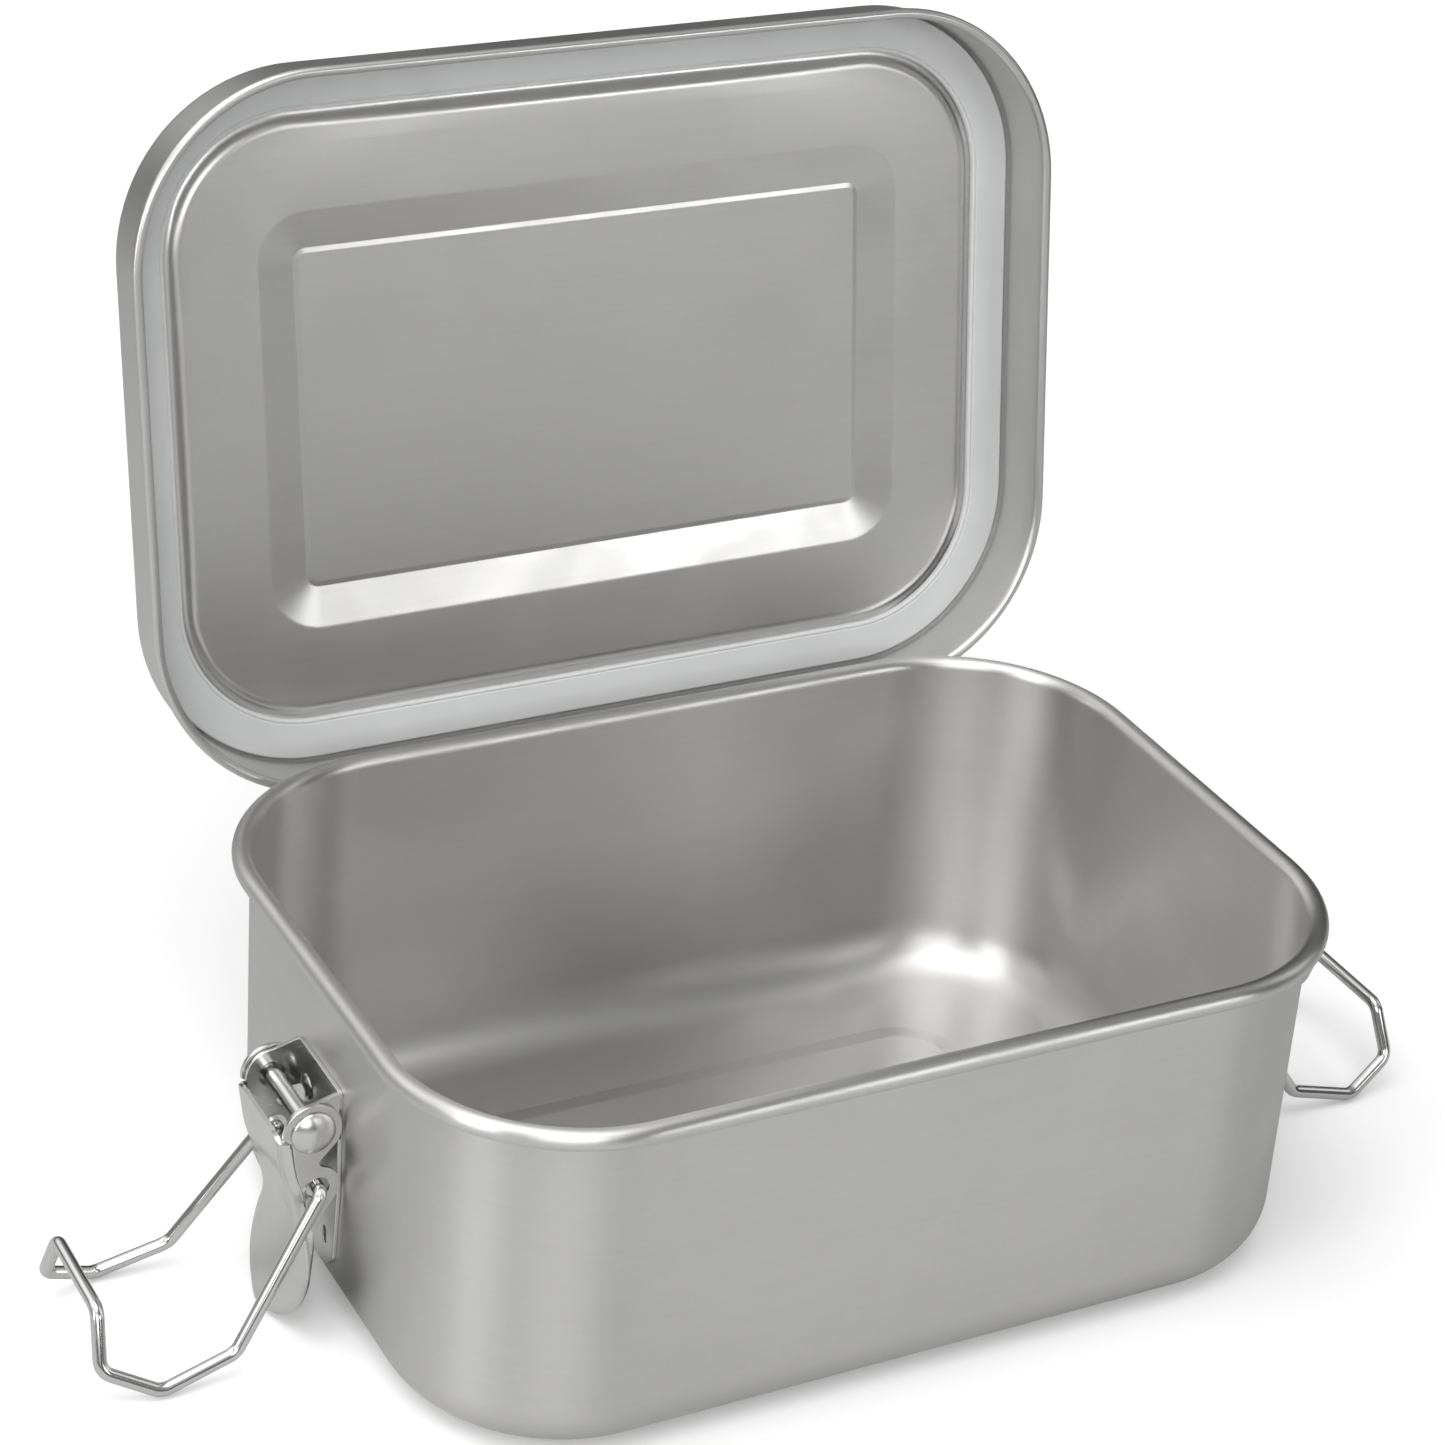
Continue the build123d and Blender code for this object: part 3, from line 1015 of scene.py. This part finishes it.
class Side(Enum):
    """Which end of the box a latch is on."""

    LEFT = -1
    RIGHT = 1

    def named(self, piece: str) -> str:
        """The piece's name at this end."""
        return f"{piece}_{self.name.lower()}"


@dataclass
class Latch:
    """One end latch: bracket, rivet, sleeve, lever and wire bail. OUT is measured from the end wall."""

    finishes: Finishes
    side: Side
    sheet: float = 0.8 * MM
    bracket_half_width: float = 9.4 * MM
    bracket_top: float = 48.2 * MM
    bracket_foot: float = 9.4 * MM
    rivet_out: float = 5.7 * MM
    rivet_height: float = 42.0 * MM
    rivet_radius: float = 1.3 * MM
    head_radius: float = 4.0 * MM
    head_rise: float = 1.6 * MM
    sleeve_radius: float = 1.6 * MM
    ear_bore: float = 2.4 * MM
    flange_inside: float = 9.55 * MM
    bail_out: float = 4.6 * MM
    bail_height: float = 30.3 * MM
    bail_wire: float = 1.22 * MM
    bail_hole: float = 2.1 * MM
    lobe_radius: float = 5.3 * MM
    bail_lobe_radius: float = 4.1 * MM
    bend: float = 1.6 * MM
    tab_bend: float = 5.5 * MM
    tab_turn: float = 38.0
    web_top: float = 41.7 * MM
    web_dip: float = 1.2 * MM
    end_clearance: float = 0.1 * MM

    def wall(self) -> float:
        """Where the end wall stands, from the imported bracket's box."""
        low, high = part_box(self.side.named("latch_bracket"))
        return min(abs(low.x), abs(high.x))

    def place(
        self, name: str, data: bpy.types.Mesh, finish: bpy.types.Material,
        body: str, slot: str, sharp: float = 35.0,
    ) -> None:
        """Show a piece drawn with OUT along X, mirrored for the left end, in place of its CAD node.

        Args:
            name: Name of the piece, without its side.
            data: Its mesh.
            finish: The material of the whole piece.
            body: Name of the body that it moves with.
            slot: Material slot of the record; not used.
            sharp: Angle in degrees from which an edge looks crisp.
        """
        data.transform(Matrix.Translation((self.wall(), 0, 0)))
        if self.side is Side.LEFT:
            data.transform(Matrix.Diagonal((-1, 1, 1, 1)))
            data.flip_normals()
        piece = shown(self.side.named(name), data, sharp)
        stand_in(piece, (finish,), body, self.side.named("latch_" + name))

    def joined(self, meshes: Sequence[bpy.types.Mesh]) -> bpy.types.Mesh:
        """Several meshes as one."""
        joint = bmesh.new()
        for data in meshes:
            joint.from_mesh(data)
        whole = bpy.data.meshes.new("joined")
        joint.to_mesh(whole)
        joint.free()
        return whole

    def on_rivet(self, builder: Builder, turn: float) -> bpy.types.Mesh:
        """A turned piece laid across the box, on the line of the rivet."""
        data = builder.taken()
        data.transform(Matrix.Rotation(radians(turn), 4, "X"))
        data.transform(Matrix.Translation((self.rivet_out, 0, self.rivet_height)))
        return data

    def facing_out(self, out: float) -> Matrix:
        """From a plate's own plane (across, up) to one that faces away from the wall."""
        return Matrix(((0, 0, 1, out), (1, 0, 0, 0), (0, 1, 0, 0), (0, 0, 0, 1)))

    def facing_across(self, across: float) -> Matrix:
        """From a plate's own plane (out, up) to one that faces along the width of the box."""
        return Matrix(((1, 0, 0, 0), (0, 0, -1, across), (0, 1, 0, 0), (0, 0, 0, 1)))

    def build_bracket(self) -> None:
        """The plate welded to the wall, with an ear bent out at each side."""
        half, top, foot = self.bracket_half_width, self.bracket_top, self.bracket_foot
        shoulder, tail, cut = 27.0 * MM, 8.0 * MM, 3.0 * MM
        right = [Vector((tail - cut, foot)), Vector((tail, foot + cut))]
        right += [Vector((half, shoulder)), Vector((half, top))]
        corners = right + [Vector((-point.x, point.y)) for point in reversed(right)]
        soft = 1.2 * MM
        outline = rounded(corners, (soft,) * len(corners), closed=True)
        slots = []
        slot_radius = 0.8 * MM
        for across in (-4.5, 4.5):
            high, low = in_mm((across, 16.7), (across, 14.7))
            slots.append(arc(high, slot_radius, 0, 180, 6) + arc(low, slot_radius, 180, 180, 6))
        back = plate("back", [outline, *slots], self.sheet)
        back.transform(self.facing_out(self.sheet / 2))
        meshes = [back]
        dome = in_mm((2.5, -0.1), (2.5, 0.02), (2.2, 0.32), (1.5, 0.5), (0.8, 0.58), (0.1, 0.6))
        for across in (-5.0, 5.0):
            data = lathe("weld", dome).taken()
            data.transform(self.facing_out(self.sheet) @ Matrix.Translation(in_mm((across, 40.3, 0))[0]))
            meshes.append(data)
        ear_radius, ear_foot = 4.8 * MM, 38.6 * MM
        out, height = self.rivet_out, self.rivet_height
        round_top = arc((out, height), ear_radius, -130, 220, 30)
        ear = [Vector((0.1 * MM, top - 0.4 * MM)), Vector((0.1 * MM, ear_foot))]
        ear += [Vector((2.2 * MM, ear_foot)), *round_top, Vector((1.2 * MM, top - 0.15 * MM))]
        bore = ring((out, height), self.ear_bore, 24)
        for side in (-1, 1):
            data = plate("ear", [ear, bore], self.sheet)
            data.transform(self.facing_across(side * (half - self.sheet / 2)))
            meshes.append(data)
        self.place("bracket", self.joined(meshes), self.finishes.latch, "box", "latch_steel")

    def build_rivet(self) -> None:
        """The cross rivet, with a domed head at each end."""
        outside = self.flange_inside + self.sheet + self.end_clearance
        ball = (self.head_radius**2 + self.head_rise**2) / (2 * self.head_rise)
        spread = degrees(atan2(self.head_radius, ball - self.head_rise))
        rim = 0.35 * MM
        dome = arc((0, outside + rim + self.head_rise - ball), ball, 90 - spread + 2.0, spread - 4.0, 10)
        profile = [Vector((self.rivet_radius, 0.0)), Vector((self.rivet_radius, outside))]
        profile.append(Vector((self.head_radius - 0.1 * MM, outside)))
        profile.append(Vector((self.head_radius, outside + 0.12 * MM)))
        profile += [Vector((self.head_radius - 0.02 * MM, outside + rim - 0.05 * MM)), *dome]
        meshes = [self.on_rivet(lathe("head", profile), turn) for turn in (90, -90)]
        self.place("rivet", self.joined(meshes), self.finishes.rivet, "box", "rivet_steel")

    def build_sleeve(self) -> None:
        """The tube on the rivet, which reaches through the holes of the ears."""
        half = self.bracket_half_width - self.end_clearance
        radius, soft = self.sleeve_radius, 0.25 * MM
        profile = [Vector((radius - soft, -half)), Vector((radius, -half + soft))]
        profile += [Vector((radius, half - soft)), Vector((radius - soft, half))]
        data = self.on_rivet(lathe("sleeve", profile, 36), 90)
        self.place("sleeve", data, self.finishes.rivet, "box", "rivet_steel")

    def web_line(self) -> Line:
        """Side view of the lever's web, from its top edge to the tip of the finger tab."""
        upper = in_mm((11.6, 42.6), (10.5, 34.0), (8.9, 28.5), (7.4, 22.5))
        lower = in_mm((7.2, 17.0), (7.9, 11.0), (9.9, 3.8), (11.4, 0.4))
        return through(upper + lower, 10)

    def half_width_line(self) -> Line:
        """Half of the lever's width, to the middle of its sheet, from the top down to the tip."""
        upper = in_mm((9.95, 43.0), (9.95, 36.0), (9.95, 29.0), (9.2, 22.6), (10.7, 17.4))
        lower = in_mm((11.9, 12.0), (11.2, 7.2), (8.2, 3.5), (4.3, 1.75), (0.9, 1.2))
        return through(upper + lower, 8)

    def lever_row(self, web: Sequence[Vector], widths: Sequence[Vector], height: float) -> Line:
        """One level of the lever's face, from edge to edge.

        Args:
            web: Side view of the web.
            widths: Half widths by height.
            height: Height of the row.

        Returns:
            Points across the lever.
        """
        out = height_of(web, height)
        half = height_of(widths, height)
        upper = ease(13.0 * MM, 25.0 * MM, height)
        turn = self.tab_turn + (90 - self.tab_turn) * upper
        radius = min(self.tab_bend + (self.bend - self.tab_bend) * upper, half * 0.8)
        reach = half - radius * sin(radians(turn))
        points = [Vector((out, reach * step / 5, height)) for step in range(6)]
        for step in range(1, 9):
            angle = radians(turn * step / 8)
            points.append(Vector((out - radius * (1 - cos(angle)), reach + radius * sin(angle), height)))
        return [Vector((point.x, -point.y, point.z)) for point in reversed(points[1:])] + points

    def lever_face(self) -> bpy.types.Mesh:
        """The web, its rounded bends and the dished finger tab, as one curved sheet."""
        web, widths = self.web_line(), self.half_width_line()
        builder = Builder("face")
        levels = [self.web_top - 1.1 * MM * step for step in range(34)]
        levels += [level * MM for level in (3.8, 3.2, 2.6, 2.1, 1.7, 1.4, 1.2)]
        rows = [self.lever_row(web, widths, level) for level in levels]
        sheets = []
        for offset in (self.sheet / 2, -self.sheet / 2):
            sheets.append([builder.row(self.moved(rows, index, offset)) for index in range(len(rows))])
        for sheet in sheets:
            builder.skins(sheet, closed=False)
        for vert in builder.mesh.verts:
            near_bend = ease(7.6 * MM, 10.2 * MM, abs(vert.co.y))
            vert.co.z -= self.web_dip * near_bend * ease(37.0 * MM, self.web_top, vert.co.z)
        for end in (0, -1):
            builder.skin(sheets[0][end], sheets[1][end], closed=False)
            builder.skin([row[end] for row in sheets[0]], [row[end] for row in sheets[1]], closed=False)
        return builder.taken()

    def moved(self, rows: Sequence[Sequence[Vector]], index: int, offset: float) -> Line:
        """One row of a curved sheet, moved off it along its normal."""
        row = rows[index]
        above = rows[max(index - 1, 0)]
        below = rows[min(index + 1, len(rows) - 1)]
        points = []
        for step, point in enumerate(row):
            across = row[min(step + 1, len(row) - 1)] - row[max(step - 1, 0)]
            normal = across.cross(above[step] - below[step]).normalized()
            points.append(point + normal * offset)
        return points

    def flange_outline(self) -> Line:
        """The lever's side flange: a lobe round the rivet, one round the wire and the edge of the web."""
        web = self.web_line()
        rivet = (self.rivet_out, self.rivet_height)
        hook = (self.bail_out, self.bail_height)
        points = arc(rivet, self.lobe_radius, -4, 224, 40)
        points += in_mm((4.0, 36.1), (4.5, 35.5), (4.2, 34.7))
        points += arc(hook, self.bail_lobe_radius, 108, 104, 20)
        points += in_mm((2.6, 25.2), (4.2, 21.6))
        for height in (20.0, 21.2, 24.0, 27.0, 30.0, 33.0, 36.0, 38.0, 39.6, 40.4):
            points.append(Vector((height_of(web, height * MM) - self.bend - 0.3 * MM, height * MM)))
        return points

    def build_lever(self) -> None:
        """The lever: curved face, side flanges and the holes that the wire turns in."""
        widths = self.half_width_line()
        hole = ring((self.bail_out, self.bail_height), self.bail_hole, 24)
        middle = self.flange_inside + self.sheet / 2
        meshes = [self.lever_face()]
        for side in (-1, 1):
            data = plate("flange", [self.flange_outline(), hole], self.sheet)
            data.transform(self.facing_across(side * middle))
            for vert in data.vertices:
                vert.co.y += side * (height_of(widths, vert.co.z) - middle)
            meshes.append(data)
        body = self.side.named("lever")
        self.place("lever", self.joined(meshes), self.finishes.latch, body, "latch_steel", 45.0)

    def bail_path(self) -> Line:
        """The bent wire, from one end to the other."""
        out, height = self.bail_out / MM, self.bail_height / MM
        half = in_mm((out, 8.2, height), (out, 12.0, height), (21.6, 16.8, 4.95))
        half += in_mm((35.2, 17.7, 1.4), (44.9, 14.8, 6.2), (43.9, 10.3, 15.9))
        other = [Vector((point.x, -point.y, point.z)) for point in reversed(half)]
        radii = [bend * MM for bend in (0.0, 1.6, 3.6, 3.6, 3.0, 2.6)]
        return rounded(half + other, radii + radii[::-1], steps=8)

    def build_bail(self) -> None:
        """The wire loop that hooks over the lid."""
        data = tube("bail", self.bail_path(), self.bail_wire).taken()
        self.place("bail", data, self.finishes.wire, self.side.named("bail"), "wire_steel", 60.0)

    def build(self) -> None:
        """Make every piece of the latch."""
        self.build_bracket()
        self.build_rivet()
        self.build_sleeve()
        self.build_lever()
        self.build_bail()


# ---------------------------------------------------------------- studio


@dataclass(frozen=True)
class Softbox:
    """One soft light, aimed at the middle of the box."""

    name: str
    azimuth: float
    elevation: float
    distance: float
    size: tuple[float, float]
    power: float


@dataclass
class Studio:
    """A plain pale floor, soft lights and the camera."""

    azimuth: float = -29.056
    elevation: float = 28.758
    roll: float = 4.486
    distance: float = 0.6866
    lens: float = 96.80
    target: tuple[float, float, float] = (-0.00572, 0.01559, 0.09103)
    floor_tone: float = 0.56
    floor_tone_far: float = 0.38
    floor_tone_seen: float = 0.96
    softboxes: tuple[Softbox, ...] = (
        Softbox("top_light", -60.0, 76.0, 1.4, (1.2, 1.0), 8.0),
        Softbox("front_light", -24.0, 26.0, 1.5, (0.8, 0.6), 5.0),
        Softbox("front_right_light", 28.0, 18.0, 1.5, (0.5, 0.32), 2.6),
        Softbox("left_light", -72.0, 20.0, 1.5, (0.5, 0.8), 5.0),
        Softbox("right_light", 82.0, 30.0, 1.5, (0.6, 0.8), 1.2),
    )

    @property
    def middle(self) -> Vector:
        """The middle of the tub, which the lights are aimed at."""
        low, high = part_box("box_body")
        return (low + high) / 2

    def direction(self, azimuth: float, elevation: float) -> Vector:
        """Unit vector from the box towards a place round it, with angles in degrees."""
        turn, lift = radians(azimuth), radians(elevation)
        return Vector((sin(turn) * cos(lift), -cos(turn) * cos(lift), sin(lift)))

    def floor(self) -> None:
        """A wide pale floor just under the box."""
        builder = Builder("floor")
        rings = [builder.row(ring((0, 0), radius, 48)) for radius in (0.05, 0.4, 1.2, 3.0, 6.0)]
        builder.skins(rings)
        builder.cap(rings[0])
        ground = builder.finish()
        ground.location.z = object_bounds()[0].z - 0.02 * MM
        material, nodes, shader = blank("paper")
        place = nodes.add("TexCoord").outputs["Object"]
        seen = nodes.add("LightPath").outputs["Is Camera Ray"]
        fibre = nodes.ramp(nodes.noise(place, 3.0), 0.2, 0.8, -0.01, 0.01)
        away = nodes.add("VectorMath", {0: place}, operation="LENGTH").outputs["Value"]
        shade = nodes.ramp(away, 0.25, 0.8, self.floor_tone, self.floor_tone_far)
        tone = nodes.ramp(seen, 0.0, 1.0, 0.0, self.floor_tone_seen)
        tone = nodes.math("MAXIMUM", tone, nodes.math("ADD", shade, fibre))
        shade = nodes.add("CombineColor", {0: tone, 1: tone, 2: tone}).outputs[0]
        nodes.set(shader.inputs["Base Color"], shade)
        nodes.set(shader.inputs["Emission Color"], shade)
        lift = nodes.ramp(away, 0.2, 1.3, 0.12, 0.4)
        nodes.set(shader.inputs["Emission Strength"], nodes.math("MULTIPLY", seen, lift))
        shader.inputs["Roughness"].default_value = 0.8
        dress(ground, (material,))
        ground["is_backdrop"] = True

    def lights(self) -> None:
        """The soft lights."""
        for box in self.softboxes:
            light = bpy.data.lights.new(box.name, "AREA")
            light.shape = "RECTANGLE"
            light.size, light.size_y = box.size
            light.energy = box.power
            holder = bpy.data.objects.new(box.name, light)
            away = self.direction(box.azimuth, box.elevation)
            holder.location = self.middle + away * box.distance
            holder.rotation_euler = (-away).to_track_quat("-Z", "Y").to_euler()
            bpy.context.scene.collection.objects.link(holder)

    def surround(self) -> None:
        """The room: bright overhead, darker near the horizon and plain white where it is seen directly."""
        world = bpy.data.worlds.new("studio")
        world.use_nodes = True
        bpy.context.scene.world = world
        nodes = Nodes(world.node_tree)
        place = nodes.add("TexCoord").outputs["Generated"]
        axes = nodes.add("SeparateXYZ", {0: place}).outputs
        glow = nodes.ramp(axes[2], 0.1, 1.0, 0.16, 1.0)
        glow = nodes.math("MULTIPLY", glow, nodes.ramp(axes[0], -0.3, 0.5, 1.0, 0.3))
        back_left = nodes.math("SUBTRACT", axes[1], axes[0])
        high = nodes.ramp(axes[2], 0.0, 0.4, 0.0, 1.4)
        lift = nodes.math("MULTIPLY", nodes.ramp(back_left, 0.5, 1.3), high)
        glow = nodes.math("MULTIPLY_ADD", glow, lift, glow)
        seen = nodes.add("LightPath").outputs["Is Camera Ray"]
        glow = nodes.math("MAXIMUM", glow, seen)
        background = next(node for node in world.node_tree.nodes if node.type == "BACKGROUND")
        shade = nodes.add("CombineColor", {0: glow, 1: glow, 2: glow})
        nodes.set(background.inputs["Color"], shade.outputs[0])
        background.inputs["Strength"].default_value = 1.0

    def camera(self) -> None:
        """The camera, rolled a little about its own line of sight."""
        back = self.direction(self.azimuth, self.elevation)
        right = Vector((-back.y, back.x, 0.0)).normalized()
        roll = radians(self.roll)
        up = back.cross(right)
        turned_right = right * cos(roll) + up * sin(roll)
        turned_up = up * cos(roll) - right * sin(roll)
        axes = Matrix((turned_right, turned_up, back)).transposed()
        data = bpy.data.cameras.new("camera")
        data.lens = self.lens
        data.sensor_width = 36.0
        data.clip_start, data.clip_end = 0.02, 40.0
        viewer = bpy.data.objects.new("camera", data)
        place = Vector(self.target) + back * self.distance
        viewer.matrix_world = Matrix.Translation(place) @ axes.to_4x4()
        bpy.context.scene.collection.objects.link(viewer)
        bpy.context.scene.camera = viewer

    def build(self) -> None:
        """Set up the camera, the floor and the lights."""
        self.camera()
        self.floor()
        self.lights()
        self.surround()
        bpy.context.scene.view_settings.view_transform = "Standard"


def main() -> None:
    """Build the whole scene, piece by piece."""
    logging.basicConfig(level=logging.INFO, format="%(name)s: %(message)s")
    finishes = Finishes()
    Studio().build()
    Tub(finishes).build()
    Lid(finishes).build()
    Hinge(finishes).build()
    for side in Side:
        Latch(finishes, side).build()


if __name__ == "__main__":
    main()
